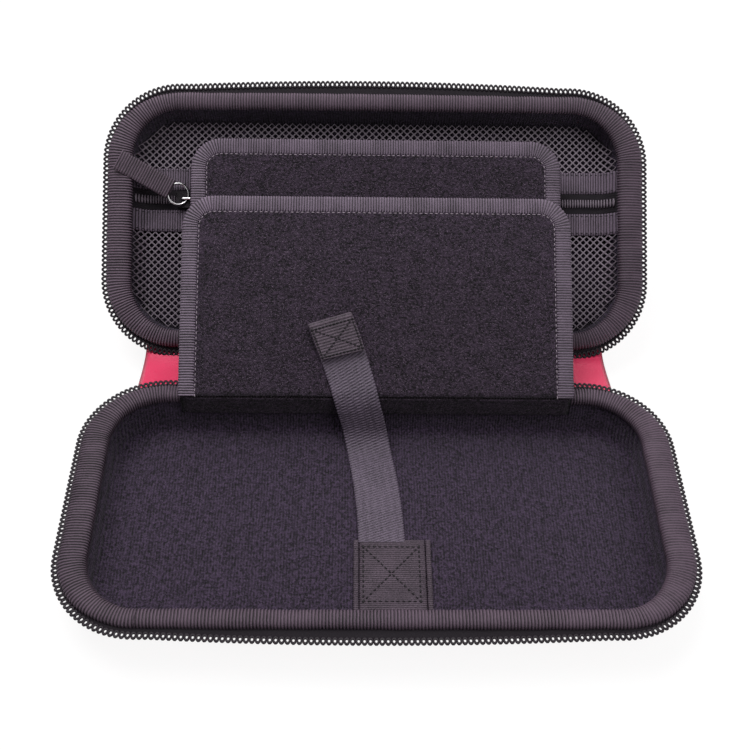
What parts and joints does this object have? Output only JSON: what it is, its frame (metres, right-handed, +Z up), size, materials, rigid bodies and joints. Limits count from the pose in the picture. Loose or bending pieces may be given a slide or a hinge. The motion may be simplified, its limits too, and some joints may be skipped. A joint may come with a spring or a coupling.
{
  "type": "portable game console case",
  "caption": "Open zipped hard case with a fleece-lined tray, a strap, padded flaps and a net pocket in the lid, for carrying a handheld console.",
  "frame": {"origin": "centre of the tray's flat underside, on the table", "axes": "+Z up, +X to the right along the case's width, +Y back towards the hinge and lid"},
  "size_m": [0.268, 0.2687, 0.0982],
  "materials": {
    "red_cover": "smooth woven cover",
    "black_fleece": "soft brushed knit",
    "ribbed_tape": "ribbed grosgrain",
    "zip_tape": "fine twill",
    "zip_coil": "satin coil",
    "net": "knitted net",
    "webbing": "twill webbing",
    "black_metal": "dark enamel",
    "bright_metal": "nickel plate"
  },
  "bodies": {
    "tray": {"tray_shell": "red_cover", "tray_lining": "black_fleece", "tray_binding": "ribbed_tape", "tray_zip_tape": "zip_tape", "tray_zip_teeth": "zip_coil", "strap_patch": "ribbed_tape", "strap": "webbing", "hinge_panel": "red_cover", "left_zip_slider": "black_metal", "right_zip_slider": "black_metal"},
    "lid": {"lid_shell": "red_cover", "lid_lining": "black_fleece", "lid_binding": "ribbed_tape", "lid_zip_tape": "zip_tape", "lid_zip_teeth": "zip_coil", "pocket_net_upper": "net", "pocket_net_lower": "net", "pocket_zip_tape": "zip_tape", "pocket_band_upper": "ribbed_tape", "pocket_band_lower": "ribbed_tape", "pocket_zip_chain": "zip_coil", "rear_flap_pad": "black_fleece", "rear_flap_tape": "ribbed_tape"},
    "front_flap": {"front_flap_pad": "black_fleece", "front_flap_tape": "ribbed_tape"},
    "pocket_slider": {"pocket_slider": "black_metal"},
    "pull": {"pull_ring": "bright_metal", "pull_ribbon": "ribbed_tape"},
    "left_zip_pull": {"left_zip_pull": "black_metal"},
    "right_zip_pull": {"right_zip_pull": "black_metal"}
  },
  "joints": [
    {"name": "lid_hinge", "type": "hinge", "parent": "tray", "child": "lid", "pos_m": [0, 0.0761, 0.0162], "axis": [1, 0, 0], "range_deg": [0, 140.63], "deforming": ["hinge_panel"]},
    {"name": "front_flap_hinge", "type": "hinge", "parent": "tray", "child": "front_flap", "pos_m": [0, 0.053, 0.0244], "axis": [1, 0, 0], "range_deg": [0, 146.1], "deforming": ["strap"]},
    {"name": "pocket_zip_slide", "type": "slide", "parent": "lid", "child": "pocket_slider", "axis": [1, 0, 0], "range_m": [0, 0.19], "deforming": ["pull_ribbon"]},
    {"name": "pull_swing", "type": "hinge", "parent": "pocket_slider", "child": "pull", "pos_m": [-0.094, 0.15803, 0.05523], "axis": [0.454, 0.6888, 0.5652], "range_deg": [0, 12]},
    {"name": "left_zip_pull_swing", "type": "hinge", "parent": "tray", "child": "left_zip_pull", "pos_m": [-0.07675, 0.0663, 0.025], "axis": [0, -1, 0], "range_deg": [0, 15]},
    {"name": "right_zip_pull_swing", "type": "hinge", "parent": "tray", "child": "right_zip_pull", "pos_m": [0.07675, 0.0663, 0.025], "axis": [0, 1, 0], "range_deg": [0, 15]}
  ],
  "couplings": [
    {"joint": "front_flap_hinge", "follows": "lid_hinge", "ratio": 1.0382}
  ]
}
